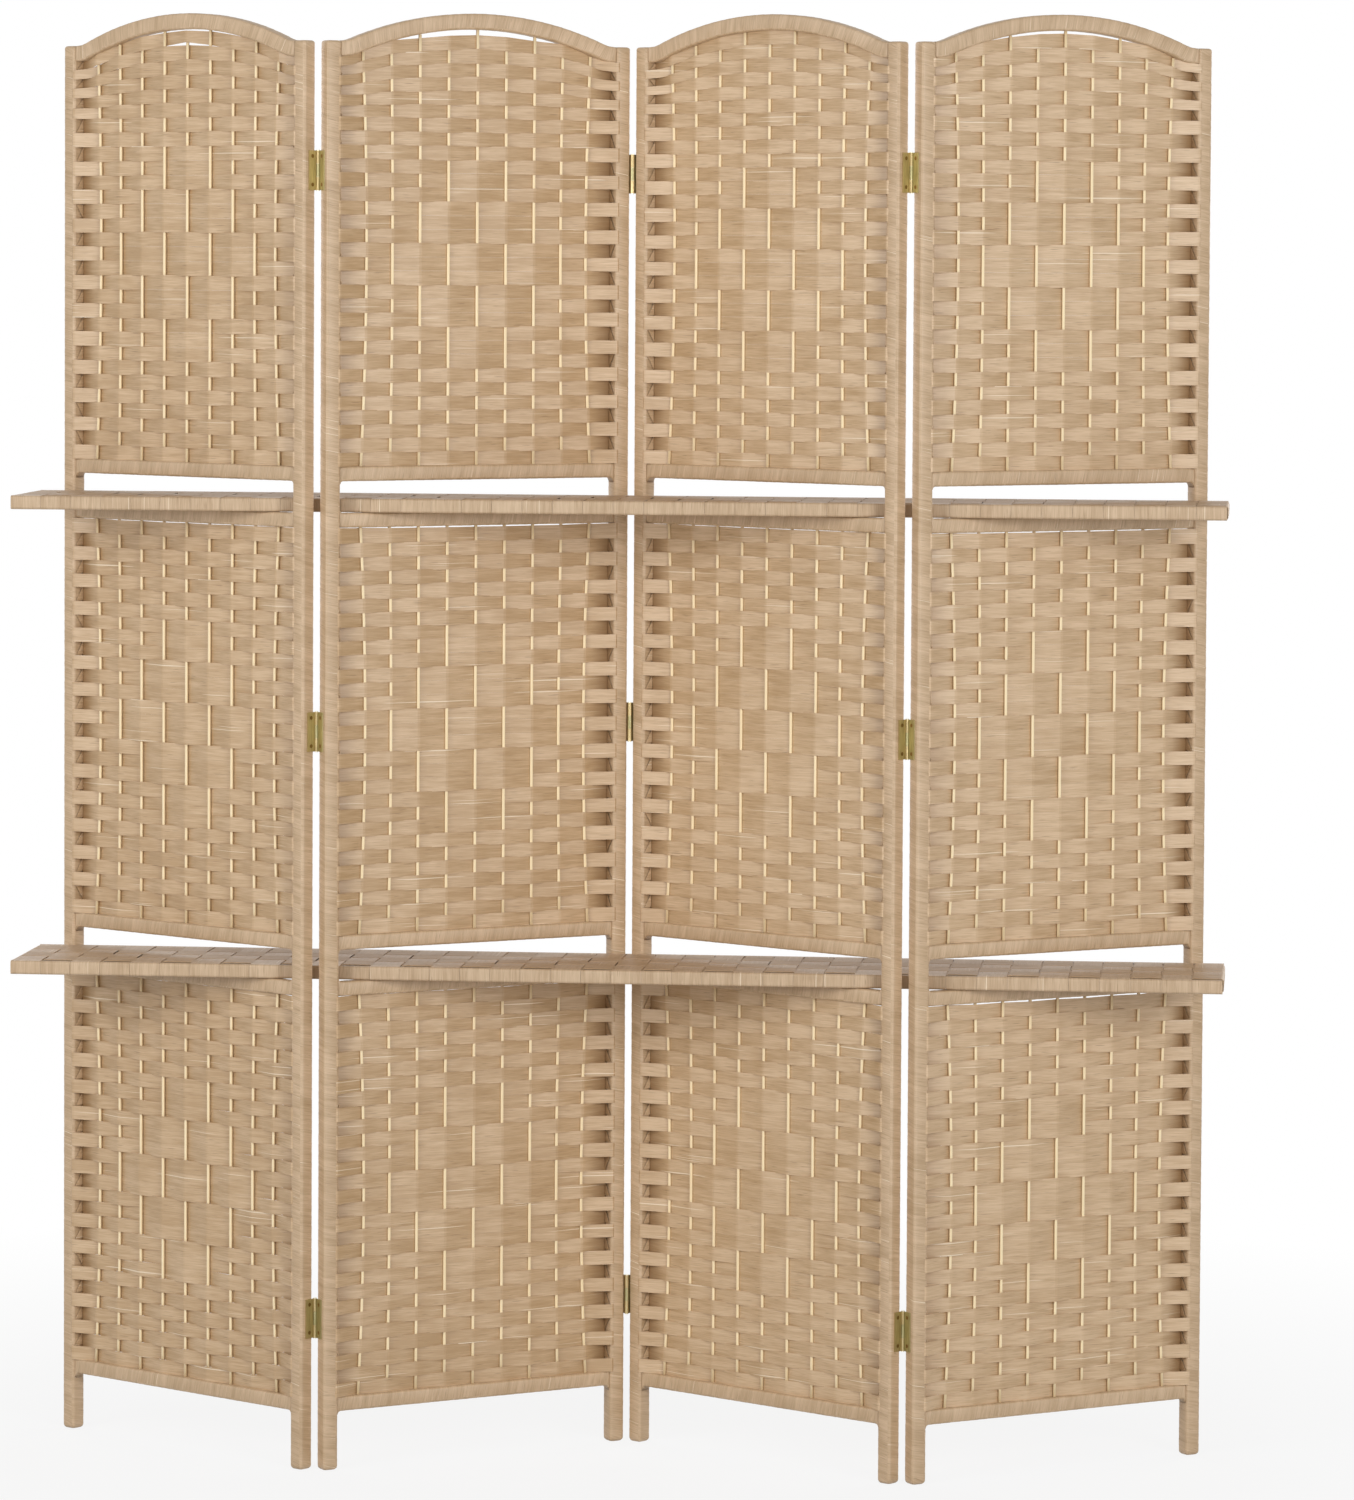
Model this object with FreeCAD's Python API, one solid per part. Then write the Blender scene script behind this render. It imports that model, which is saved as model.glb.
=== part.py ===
import FreeCAD, Part
import math
import os
from FreeCAD import Vector

os.makedirs("parts", exist_ok=True)

# Folding screen: arched, woven panels hinged in a zigzag, with two shelves threaded through their slots.
# X runs along the shelves, Y from the front of the screen to its back, Z up. Lengths are in millimetres.

# Panel frame
PANEL_COUNT = 4
PANEL_WIDTH = 400.0
STILE_SIZE = 18.5
STILE_HEIGHT = 1665.0
STILE_EDGE_RADIUS = 3.0
FOOT_CHAMFER = 1.0
RAIL_HEIGHT = 17.0
RAIL_THICKNESS = 14.0
RAIL_EDGE_RADIUS = 2.5
FOOT_HEIGHT = 68.0
LOWER_WEAVE_HEIGHT = 470.0
MIDDLE_WEAVE_HEIGHT = 475.0

# Bent top rail
ARCH_RISE = 35.0
ARCH_DEPTH = 18.5
ARCH_THICKNESS = 16.0
ARCH_EDGE_RADIUS = 2.5
SHOULDER_RADIUS = 45.0

# Woven sections, with their rows counted from the sill up
STAKE_COUNT = 9
STAKE_MARGIN = 30.0
STAKE_WIDTH = 3.2
STAKE_THICKNESS = 2.6
RIBBON_THICKNESS = 1.0
WEAVE_CLEARANCE = 0.1
PLAIN_ROWS_BELOW = 7
DIAMOND_ROWS = 15
PLAIN_ROWS_ABOVE = 7
UPPER_PLAIN_ROWS_ABOVE = (8, 9, 10, 9)
ARCH_SLIT = 4.0
EDGE_PINCH = 0.6

# Zigzag: the angle between each panel and the shelves
FOLD_ANGLE = 35.0

# Butt hinges
HINGE_HEIGHT = 46.0
LEAF_THICKNESS = 1.2
LEAF_CLEARANCE = 0.6
LEAF_REACH = 12.0
KNUCKLE_COUNT = 3
KNUCKLE_WALL = 1.15
KNUCKLE_CLEARANCE = 0.2
PIN_RADIUS = 1.2
PIN_CLEARANCE = 0.05
PIN_HEAD_LIP = 0.8
PIN_HEAD_HEIGHT = 0.8
LOW_HINGE_RISE = 92.0
HIGH_HINGE_DROP = 150.0

# Countersunk hinge screws
SCREW_RADIUS = 1.1
SCREW_HEAD_LIP = 1.2
SCREW_LENGTH = 11.0
SCREW_END_DISTANCE = 6.5
SCREW_CLEARANCE = 0.05

# Shelves
SHELF_THICKNESS = 16.0
SHELF_RAIL_WIDTH = 18.0
SHELF_EDGE_RADIUS = 2.5
SHELF_SEAT_CLEARANCE = 0.3
SHELF_SIDE_CLEARANCE = 6.5
SHELF_HEADROOM = 20.7
SHELF_OVERHANG = 25.0
SHELF_BAND_WIDTH = 35.0
SHELF_BAND_THICKNESS = 1.2
SHELF_LONG_BANDS = 4

# Places that follow from the driving dimensions
INNER_WIDTH = PANEL_WIDTH - 2 * STILE_SIZE
SLOT_HEIGHT = SHELF_SEAT_CLEARANCE + SHELF_THICKNESS + SHELF_HEADROOM
BOTTOM_RAIL_Z = FOOT_HEIGHT
LOWER_WEAVE_Z = BOTTOM_RAIL_Z + RAIL_HEIGHT
LOWER_SILL_Z = LOWER_WEAVE_Z + LOWER_WEAVE_HEIGHT
LOWER_SLOT_Z = LOWER_SILL_Z + RAIL_HEIGHT
LOWER_HEAD_Z = LOWER_SLOT_Z + SLOT_HEIGHT
MIDDLE_WEAVE_Z = LOWER_HEAD_Z + RAIL_HEIGHT
UPPER_SILL_Z = MIDDLE_WEAVE_Z + MIDDLE_WEAVE_HEIGHT
UPPER_SLOT_Z = UPPER_SILL_Z + RAIL_HEIGHT
UPPER_HEAD_Z = UPPER_SLOT_Z + SLOT_HEIGHT
UPPER_WEAVE_Z = UPPER_HEAD_Z + RAIL_HEIGHT
ARCH_UNDERSIDE_Z = STILE_HEIGHT + ARCH_RISE - ARCH_DEPTH

HINGE_GAP = 2 * LEAF_THICKNESS + LEAF_CLEARANCE
KNUCKLE_RADIUS = PIN_RADIUS + PIN_CLEARANCE + KNUCKLE_WALL
PIN_U = PANEL_WIDTH / 2 + HINGE_GAP / 2
PIN_W = STILE_SIZE / 2 + KNUCKLE_CLEARANCE + KNUCKLE_RADIUS
HINGE_CENTRES = (
    LOWER_WEAVE_Z + LOW_HINGE_RISE,
    MIDDLE_WEAVE_Z + MIDDLE_WEAVE_HEIGHT / 2,
    STILE_HEIGHT - HIGH_HINGE_DROP,
)

FOLD = math.radians(FOLD_ANGLE)
PANEL_PITCH = 2 * (PIN_U * math.cos(FOLD) + PIN_W * math.sin(FOLD))
SCREEN_HALF_LENGTH = ((PANEL_COUNT - 1) / 2 * PANEL_PITCH
                      + PANEL_WIDTH / 2 * math.cos(FOLD) + STILE_SIZE / 2 * math.sin(FOLD))
SHELF_LENGTH = 2 * (SCREEN_HALF_LENGTH + SHELF_OVERHANG)
SHELF_DEPTH = 2 * (INNER_WIDTH / 2 * math.sin(FOLD) - STILE_SIZE / 2 * math.cos(FOLD) - SHELF_SIDE_CLEARANCE)

# The arch's outer line is a crown arc between two shoulder arcs, all tangent.
ARCH_HALF_SPAN = INNER_WIDTH / 2
ARCH_RADII_SUM = (ARCH_HALF_SPAN ** 2 + ARCH_RISE ** 2) / (2 * ARCH_RISE)
ARCH_TURN = math.asin(ARCH_HALF_SPAN / ARCH_RADII_SUM)
CROWN_RADIUS = ARCH_RADII_SUM - SHOULDER_RADIUS
UNDERSIDE_RADIUS = CROWN_RADIUS - ARCH_DEPTH


def rounded_rectangle(wide, tall, radius):
    """A centred rectangle with round corners, as a face in the XY plane."""
    x, y = wide / 2, tall / 2
    corners = ((x, y, 0), (-x, y, 90), (-x, -y, 180), (x, -y, 270))
    edges = []
    starts = []
    for corner_x, corner_y, start in corners:
        centre_x = corner_x - math.copysign(radius, corner_x)
        centre_y = corner_y - math.copysign(radius, corner_y)
        angles = [math.radians(start + step) for step in (0, 45, 90)]
        points = [Vector(centre_x + radius * math.cos(a), centre_y + radius * math.sin(a), 0) for a in angles]
        edges.append(Part.Arc(*points).toShape())
        starts.append((points[0], points[2]))
    for side in range(4):
        edges.append(Part.makeLine(starts[side][1], starts[(side + 1) % 4][0]))
    return Part.Face(Part.Wire(Part.__sortEdges__(edges)))


def bar_along_x(length, thickness, height, radius, z):
    """A bar with round long edges, centred on X and Y, standing on height z."""
    bar = rounded_rectangle(thickness, height, radius).extrude(Vector(0, 0, length))
    bar.rotate(Vector(), Vector(1, 1, 1), 120)
    bar.translate(Vector(-length / 2, 0, z + height / 2))
    return bar


def make_stile(side, hinge_faces):
    """One square post, from its foot to its top, drilled for the screws of the hinges on it."""
    post = rounded_rectangle(STILE_SIZE, STILE_SIZE, STILE_EDGE_RADIUS).extrude(Vector(0, 0, STILE_HEIGHT))
    foot_edges = [edge for edge in post.Edges if edge.BoundBox.ZMax < FOOT_CHAMFER / 2]
    post = post.makeChamfer(FOOT_CHAMFER, foot_edges)
    post.translate(Vector(side * (PANEL_WIDTH - STILE_SIZE) / 2, 0, 0))
    for face in hinge_faces:
        pilots = [screw_body(side, face, z, SCREW_CLEARANCE) for z in screw_heights()]
        post = post.cut(pilots)
    return post.Solids[0]


def arch_line(crown_z, crown_radius, shoulder_radius):
    """The three tangent arcs of one line of the arch, from its left end to its right end, in the XZ plane."""
    def on_crown(angle):
        return Vector(crown_radius * math.sin(angle), 0, crown_z - crown_radius * (1 - math.cos(angle)))

    def on_shoulder(side, angle):
        low_z = crown_z - ARCH_RISE
        return Vector(side * (ARCH_HALF_SPAN - shoulder_radius * math.sin(angle)), 0,
                      low_z + shoulder_radius * (1 - math.cos(angle)))

    left = Part.Arc(on_shoulder(-1, 0), on_shoulder(-1, ARCH_TURN / 2), on_crown(-ARCH_TURN))
    crown = Part.Arc(on_crown(-ARCH_TURN), on_crown(0), on_crown(ARCH_TURN))
    right = Part.Arc(on_crown(ARCH_TURN), on_shoulder(1, ARCH_TURN / 2), on_shoulder(1, 0))
    return [arc.toShape() for arc in (left, crown, right)]


def make_arch():
    """The bent top rail, butted between the stile tops."""
    outer = arch_line(STILE_HEIGHT + ARCH_RISE, CROWN_RADIUS, SHOULDER_RADIUS)
    inner = arch_line(ARCH_UNDERSIDE_Z, UNDERSIDE_RADIUS, SHOULDER_RADIUS + ARCH_DEPTH)
    ends = []
    for side in (-1, 1):
        x = side * ARCH_HALF_SPAN
        ends.append(Part.makeLine(Vector(x, 0, STILE_HEIGHT - ARCH_DEPTH), Vector(x, 0, STILE_HEIGHT)))
    outline = Part.Wire(Part.__sortEdges__(outer + inner + ends))
    arch = Part.Face(outline).extrude(Vector(0, ARCH_THICKNESS, 0))
    long_edges = [edge for edge in arch.Edges if edge.BoundBox.XLength > ARCH_DEPTH / 2]
    arch = arch.makeFillet(ARCH_EDGE_RADIUS, long_edges)
    arch.translate(Vector(0, -ARCH_THICKNESS / 2, 0))
    return arch.Solids[0]


def make_rail(z):
    return bar_along_x(INNER_WIDTH, RAIL_THICKNESS, RAIL_HEIGHT, RAIL_EDGE_RADIUS, z)


def arch_underside(x):
    """Height of the arch's underside at a distance from the panel's middle."""
    x = abs(x)
    if x <= UNDERSIDE_RADIUS * math.sin(ARCH_TURN):
        return ARCH_UNDERSIDE_Z - UNDERSIDE_RADIUS + math.sqrt(UNDERSIDE_RADIUS ** 2 - x ** 2)
    radius = SHOULDER_RADIUS + ARCH_DEPTH
    return STILE_HEIGHT - ARCH_DEPTH + radius - math.sqrt(radius ** 2 - (ARCH_HALF_SPAN - x) ** 2)


def make_stakes():
    """The thin upright sticks of the three woven sections."""
    step = (INNER_WIDTH - 2 * STAKE_MARGIN) / (STAKE_COUNT - 1)
    stakes = []
    for stake in range(STAKE_COUNT):
        x = -INNER_WIDTH / 2 + STAKE_MARGIN + stake * step
        spans = (
            (LOWER_WEAVE_Z, LOWER_SILL_Z),
            (MIDDLE_WEAVE_Z, UPPER_SILL_Z),
            (UPPER_WEAVE_Z, arch_underside(abs(x) + STAKE_WIDTH / 2)),
        )
        for low, high in spans:
            corner = Vector(x - STAKE_WIDTH / 2, -STAKE_THICKNESS / 2, low + WEAVE_CLEARANCE)
            height = high - low - 2 * WEAVE_CLEARANCE
            stakes.append(Part.makeBox(STAKE_WIDTH, STAKE_THICKNESS, height, corner))
    return stakes


def row_edge(half_length, z, rise):
    """One long edge of a ribbon, straight or sagging by rise at both of its ends."""
    left, right = Vector(-half_length, 0, z - rise), Vector(half_length, 0, z - rise)
    if rise < WEAVE_CLEARANCE:
        return Part.makeLine(left, right)
    return Part.Arc(left, Vector(0, 0, z), right).toShape()


def make_row(row, low, high):
    """One ribbon. Rows lie before and behind the stakes by turns. low and high are (height, rise) pairs."""
    half_length = INNER_WIDTH / 2 - WEAVE_CLEARANCE
    bottom = row_edge(half_length, *low)
    top = row_edge(half_length, *high)
    sides = [Part.makeLine(Vector(x, 0, low[0] - low[1]), Vector(x, 0, high[0] - high[1]))
             for x in (-half_length, half_length)]
    ribbon = Part.Face(Part.Wire(Part.__sortEdges__([bottom, top] + sides)))
    ribbon = ribbon.extrude(Vector(0, RIBBON_THICKNESS, 0))
    inner_face = STAKE_THICKNESS / 2 + WEAVE_CLEARANCE
    behind = row % 2 == 1
    ribbon.translate(Vector(0, inner_face if behind else -inner_face - RIBBON_THICKNESS, 0))
    return ribbon


def straight_rows(low, high, count):
    """Level rows that fill the space between two rails."""
    pitch = (high - low - 2 * WEAVE_CLEARANCE) / count
    heights = [low + WEAVE_CLEARANCE + n * pitch for n in range(count + 1)]
    return [make_row(n, (heights[n], 0.0), (heights[n + 1], 0.0)) for n in range(count)]


def arched_rows(count):
    """Rows of the upper section. The top ones bend under the arch and narrow to EDGE_PINCH at the stiles."""
    low = UPPER_WEAVE_Z + WEAVE_CLEARANCE
    high = ARCH_UNDERSIDE_Z - ARCH_SLIT
    pitch = (high - low) / count
    full_rise = UNDERSIDE_RADIUS - math.sqrt(UNDERSIDE_RADIUS ** 2 - ARCH_HALF_SPAN ** 2)
    bent_rows = math.ceil(full_rise / ((1 - EDGE_PINCH) * pitch))
    edges = []
    for n in range(count + 1):
        bent = max(0, n - (count - bent_rows))
        edges.append((low + n * pitch, full_rise * bent / bent_rows))
    return [make_row(n, edges[n], edges[n + 1]) for n in range(count)]


def make_ribbons(panel):
    """The rows of a panel's three woven sections. The number above the top diamond differs by panel."""
    rows = PLAIN_ROWS_BELOW + DIAMOND_ROWS + PLAIN_ROWS_ABOVE
    above = UPPER_PLAIN_ROWS_ABOVE[panel % len(UPPER_PLAIN_ROWS_ABOVE)]
    upper_rows = PLAIN_ROWS_BELOW + DIAMOND_ROWS + above
    ribbons = straight_rows(LOWER_WEAVE_Z, LOWER_SILL_Z, rows)
    ribbons += straight_rows(MIDDLE_WEAVE_Z, UPPER_SILL_Z, rows)
    ribbons += arched_rows(upper_rows)
    return ribbons


def screw_heights(hinge_centres=HINGE_CENTRES):
    """Heights of the two screws of each hinge."""
    reach = HINGE_HEIGHT / 2 - SCREW_END_DISTANCE
    return [centre + step * reach for centre in hinge_centres for step in (-1, 1)]


def screw_body(side, face, z, clearance):
    """A countersunk screw through a leaf into a stile, grown by clearance."""
    outer_u = side * (PANEL_WIDTH / 2 + LEAF_THICKNESS)
    start = Vector(outer_u, face * (STILE_SIZE - LEAF_REACH) / 2, z)
    inward = Vector(-side, 0, 0)
    neck = start + inward * LEAF_THICKNESS
    radius = SCREW_RADIUS + clearance
    head = Part.makeCone(radius + SCREW_HEAD_LIP, radius, LEAF_THICKNESS, start, inward)
    shank = Part.makeCylinder(radius, SCREW_LENGTH - LEAF_THICKNESS + clearance, neck, inward)
    return head.fuse(shank).removeSplitter().Solids[0]


def knuckle_span(centre, knuckle):
    """Bottom and top of one knuckle of a hinge, with its axial clearance taken off."""
    height = HINGE_HEIGHT / KNUCKLE_COUNT
    low = centre - HINGE_HEIGHT / 2 + knuckle * height
    return low + KNUCKLE_CLEARANCE / 2, low + height - KNUCKLE_CLEARANCE / 2


def make_leaf(side, face, centre):
    """A hinge leaf on a stile's outer side: the end knuckles on a right stile, the rest on a left one."""
    axis_u, axis_w = side * PIN_U, face * PIN_W
    low = centre - HINGE_HEIGHT / 2
    plate_u = min(side * PANEL_WIDTH / 2, side * (PANEL_WIDTH / 2 + LEAF_THICKNESS))
    plate_start = face * (STILE_SIZE / 2 - LEAF_REACH)
    plate = Part.makeBox(LEAF_THICKNESS, abs(axis_w - plate_start), HINGE_HEIGHT,
                         Vector(plate_u, min(plate_start, axis_w), low))
    own = 0 if side > 0 else 1
    for knuckle in range(KNUCKLE_COUNT):
        bottom, top = knuckle_span(centre, knuckle)
        if knuckle % 2 == own:
            foot = Vector(axis_u, axis_w, bottom)
            plate = plate.fuse(Part.makeCylinder(KNUCKLE_RADIUS, top - bottom, foot))
        else:
            foot = Vector(axis_u, axis_w, bottom - KNUCKLE_CLEARANCE)
            relief = KNUCKLE_RADIUS + KNUCKLE_CLEARANCE
            plate = plate.cut(Part.makeCylinder(relief, top - bottom + 2 * KNUCKLE_CLEARANCE, foot))
    bore = Part.makeCylinder(PIN_RADIUS + PIN_CLEARANCE, HINGE_HEIGHT, Vector(axis_u, axis_w, low))
    screws = [screw_body(side, face, z, SCREW_CLEARANCE) for z in screw_heights([centre])]
    return plate.cut([bore] + screws).removeSplitter().Solids[0]


def make_pin(side, face, centre):
    """A hinge pin with a button head at each end."""
    half = HINGE_HEIGHT / 2
    end = half + PIN_HEAD_HEIGHT
    head = PIN_RADIUS + PIN_HEAD_LIP
    steps = ((0, -end), (head, -end), (head, -half), (PIN_RADIUS, -half),
             (PIN_RADIUS, half), (head, half), (head, end), (0, end), (0, -end))
    profile = Part.Face(Part.makePolygon([Vector(radius, 0, z) for radius, z in steps]))
    pin = profile.revolve(Vector(), Vector(0, 0, 1), 360)
    pin.translate(Vector(side * PIN_U, face * PIN_W, centre))
    return pin


def make_shelf(z):
    """A shelf's long rails, end rails and woven bands, each as a list of solids."""
    inner_depth = SHELF_DEPTH - 2 * SHELF_RAIL_WIDTH
    inner_length = SHELF_LENGTH - 2 * SHELF_RAIL_WIDTH
    long_rails = []
    for side in (-1, 1):
        rail = bar_along_x(SHELF_LENGTH, SHELF_RAIL_WIDTH, SHELF_THICKNESS, SHELF_EDGE_RADIUS, z)
        rail.translate(Vector(0, side * (SHELF_DEPTH - SHELF_RAIL_WIDTH) / 2, 0))
        long_rails.append(rail)
    end_rails = []
    for side in (-1, 1):
        rail = bar_along_x(inner_depth, SHELF_RAIL_WIDTH, SHELF_THICKNESS, SHELF_EDGE_RADIUS, z)
        rail.rotate(Vector(), Vector(0, 0, 1), 90)
        rail.translate(Vector(side * (SHELF_LENGTH - SHELF_RAIL_WIDTH) / 2, 0, 0))
        end_rails.append(rail)
    return long_rails, end_rails, make_shelf_bands(z, inner_length, inner_depth)


def make_shelf_bands(z, inner_length, inner_depth):
    """Crosswise bands over lengthwise bands, level with the tops of the shelf's rails."""
    top = z + SHELF_THICKNESS - SHELF_EDGE_RADIUS
    cross_low = top - SHELF_BAND_THICKNESS
    long_low = cross_low - WEAVE_CLEARANCE - SHELF_BAND_THICKNESS
    length = inner_length - 2 * WEAVE_CLEARANCE
    depth = inner_depth - 2 * WEAVE_CLEARANCE
    bands = []
    count = max(1, round(length / SHELF_BAND_WIDTH))
    pitch = length / count
    for band in range(count):
        corner = Vector(-length / 2 + band * pitch + WEAVE_CLEARANCE / 2, -depth / 2, cross_low)
        bands.append(Part.makeBox(pitch - WEAVE_CLEARANCE, depth, SHELF_BAND_THICKNESS, corner))
    pitch = depth / SHELF_LONG_BANDS
    for band in range(SHELF_LONG_BANDS):
        corner = Vector(-length / 2, -depth / 2 + band * pitch + WEAVE_CLEARANCE / 2, long_low)
        bands.append(Part.makeBox(length, pitch - WEAVE_CLEARANCE, SHELF_BAND_THICKNESS, corner))
    return bands


def place(solids, panel):
    """Copies of a panel's solids, turned to the panel's place in the zigzag."""
    turn = FOLD_ANGLE if panel % 2 else -FOLD_ANGLE
    placed = []
    for solid in solids:
        solid = solid.copy()
        solid.rotate(Vector(), Vector(0, 0, 1), turn)
        solid.translate(Vector((panel - (PANEL_COUNT - 1) / 2) * PANEL_PITCH, 0, 0))
        placed.append(solid)
    return placed


def export(name, solids):
    shape = solids[0] if len(solids) == 1 else Part.makeCompound(solids)
    shape.exportStep("parts/" + name + ".step")


def hinge_faces(panel):
    """The face, back (1) or front (-1), that the hinges on a panel's left (-1) and right (1) side fold to."""
    back_joint_on_right = panel % 2 == 0
    right = [] if panel == PANEL_COUNT - 1 else [1 if back_joint_on_right else -1]
    left = [] if panel == 0 else [-1 if back_joint_on_right else 1]
    return {-1: left, 1: right}


def build_panel(panel):
    name = "panel_%d_" % (panel + 1)
    faces = hinge_faces(panel)
    export(name + "left_stile", place([make_stile(-1, faces[-1])], panel))
    export(name + "right_stile", place([make_stile(1, faces[1])], panel))
    export(name + "top_arch", place([make_arch()], panel))
    rails = {
        "bottom_rail": BOTTOM_RAIL_Z,
        "lower_slot_sill": LOWER_SILL_Z,
        "lower_slot_head": LOWER_HEAD_Z,
        "upper_slot_sill": UPPER_SILL_Z,
        "upper_slot_head": UPPER_HEAD_Z,
    }
    for rail, z in rails.items():
        export(name + rail, place([make_rail(z)], panel))
    export(name + "stakes", place(make_stakes(), panel))
    export(name + "ribbons", place(make_ribbons(panel), panel))
    screws = []
    for side, side_faces in faces.items():
        for face in side_faces:
            screws += [screw_body(side, face, z, 0.0) for z in screw_heights()]
    export(name + "hinge_screws", place(screws, panel))


def build_joint(joint):
    """The three hinges between a panel and the next one."""
    name = "joint_%d_" % (joint + 1)
    left_face = hinge_faces(joint)[1][0]
    right_face = hinge_faces(joint + 1)[-1][0]
    export(name + "left_leaves", place([make_leaf(1, left_face, z) for z in HINGE_CENTRES], joint))
    export(name + "right_leaves", place([make_leaf(-1, right_face, z) for z in HINGE_CENTRES], joint + 1))
    export(name + "pins", place([make_pin(1, left_face, z) for z in HINGE_CENTRES], joint))


def build_shelf(name, slot_z):
    long_rails, end_rails, bands = make_shelf(slot_z + SHELF_SEAT_CLEARANCE)
    export(name + "_long_rails", long_rails)
    export(name + "_end_rails", end_rails)
    export(name + "_bands", bands)


for panel_number in range(PANEL_COUNT):
    build_panel(panel_number)
for joint_number in range(PANEL_COUNT - 1):
    build_joint(joint_number)
build_shelf("lower_shelf", LOWER_SLOT_Z)
build_shelf("upper_shelf", UPPER_SLOT_Z)

print("shelf %.1f x %.1f, panel pitch %.2f, screen half length %.1f" % (
    SHELF_LENGTH, SHELF_DEPTH, PANEL_PITCH, SCREEN_HALF_LENGTH))
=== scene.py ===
import math
import random

import bmesh
import bpy
from mathutils import Matrix, Vector, noise


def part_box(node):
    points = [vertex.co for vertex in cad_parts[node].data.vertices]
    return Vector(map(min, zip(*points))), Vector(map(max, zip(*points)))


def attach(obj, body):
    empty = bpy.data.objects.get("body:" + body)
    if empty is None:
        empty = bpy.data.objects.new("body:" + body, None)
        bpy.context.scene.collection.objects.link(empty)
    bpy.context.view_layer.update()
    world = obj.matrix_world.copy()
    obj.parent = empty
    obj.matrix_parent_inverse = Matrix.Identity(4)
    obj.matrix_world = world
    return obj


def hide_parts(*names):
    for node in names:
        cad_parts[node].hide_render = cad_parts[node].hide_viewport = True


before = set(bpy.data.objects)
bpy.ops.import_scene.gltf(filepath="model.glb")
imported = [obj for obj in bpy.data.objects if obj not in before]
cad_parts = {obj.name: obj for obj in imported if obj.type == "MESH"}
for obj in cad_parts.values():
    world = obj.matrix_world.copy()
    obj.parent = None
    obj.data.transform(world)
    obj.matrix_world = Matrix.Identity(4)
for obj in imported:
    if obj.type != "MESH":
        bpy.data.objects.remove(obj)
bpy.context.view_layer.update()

# Folding screen of wrapped frames and woven paper ribbon. Lengths are in metres, in the frame of the
# solids: X along the shelves, Y from front to back, Z up. In a panel, "across" runs from its left stile
# to its right one and "depth" from its front to its back. Values that differ from panel to panel are
# listed from panel 1 to panel 4.

# Frames
PANELS = (1, 2, 3, 4)
SHELVES = ("lower_shelf", "upper_shelf")
STILE_SIZE = 0.0185
STILE_EDGE = 0.003
FOOT_RADIUS = 0.0042
END_RINGS = 3
RAIL_THICKNESS = 0.014
RAIL_EDGE = 0.0025
ARCH_DEPTH = 0.0185
ARCH_THICKNESS = 0.016
SHOULDER_RADIUS = 0.045
SLOT_CORNER_RADIUS = 0.006
# The side of each rail, below (-1) or above (1), that meets the stiles in round corners
RAIL_CORNERS = {
    "bottom_rail": -1,
    "lower_slot_sill": 1,
    "lower_slot_head": -1,
    "upper_slot_sill": 1,
    "upper_slot_head": -1,
}
MERGE_DISTANCE = 1e-6

# Paper wound round the frame
WRAP_PITCH = 0.0125
WRAP_STEP = 0.00022
WRAP_RING = 0.002
SHELF_WRAP_RING = 0.008
WRAP_UNEVEN = 0.6
UNEVEN_ALONG = 0.7
UNEVEN_SEED = 9
# Where the winding starts on a bar, so that no two bars look alike
STILE_PHASE = 0.3
RAIL_PHASE = 0.2
ARCH_PHASE = 0.4
LONG_RAIL_PHASE = 0.7
END_RAIL_PHASE = 0.9

# Stakes
STAKE_COUNT = 9
STAKE_MARGIN = 0.030
STAKE_WIDTH = 0.0032
STAKE_THICKNESS = 0.0026
STAKE_EDGE = 0.0004
STAKE_RING = 0.05
SIDE_TOLERANCE = 0.00002
# How far the ribbons draw a stake in, from the outer stake to the inner ones
STAKE_BOWS = (0.0068, 0.0026, 0.0006, 0.0)

# Rows of ribbon
PLAIN_ROWS_BELOW = 7
PLAIN_ROWS_ABOVE = 7
UPPER_PLAIN_ROWS_ABOVE = (8, 9, 10, 9)
DIAMOND_GROUPS = 5
ROWS_PER_GROUP = 3
DIAMOND_REACH = 3
BENT_ROWS = 6
BEND_SPREAD = 1.15
ROW_WANDER = 0.0009
WANDER_ACROSS = 9
WANDER_BY_ROW = 0.83
WANDER_BY_PANEL = 3.1

# Ribbons
RIBBON_THICKNESS = 0.0008
RIBBON_GAP = 0.00004
RIBBON_LAP = 0.0004
WEAVE_DEPTHS = (0.0028, 0.0018, 0.0018, 0.0024)
# How far each panel's paper is paler (above 0) or darker than the mean
PANEL_TONES = (-1.2, -1.3, 0.4, 0.5)
PANEL_SEED = 100
FIBRE_SHIFT = 90

# Ribbon ends: laid over the stiles, or widened in the pockets beside them, with painted shade there
STILE_OVERLAP = 0.0046
STILE_SINK = 0.0006
STILE_TOUCH = 0.0018
POCKET_DEPTH = 0.0045
POCKET_LAP = 0.0034
WIDENING_SHARE = 0.3
WIDENED = 0.75
POCKET_PAINTED_SHADE = 0.8
CREASE_PAINTED_SHADE = 0.3
PAINTED_SHADE_AT_WIDENING = 0.5
PAINTED_SHADE_AT_STAKE = 0.25

# Folded corners of the ribbon ends, made lighter as a painted highlight, with painted shade on them at the
# right stiles
TAB_MARGIN = 0.0008
TAB_STANDOFF = 0.0015
TAB_REACH = 0.0075
TAB_LEAST_REACH = 0.75
TAB_TURNED_SHARE = 0.15
TAB_PAINTED_HIGHLIGHT = 2.5
RIGHT_TAB_PAINTED_SHADE = 0.7

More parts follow.
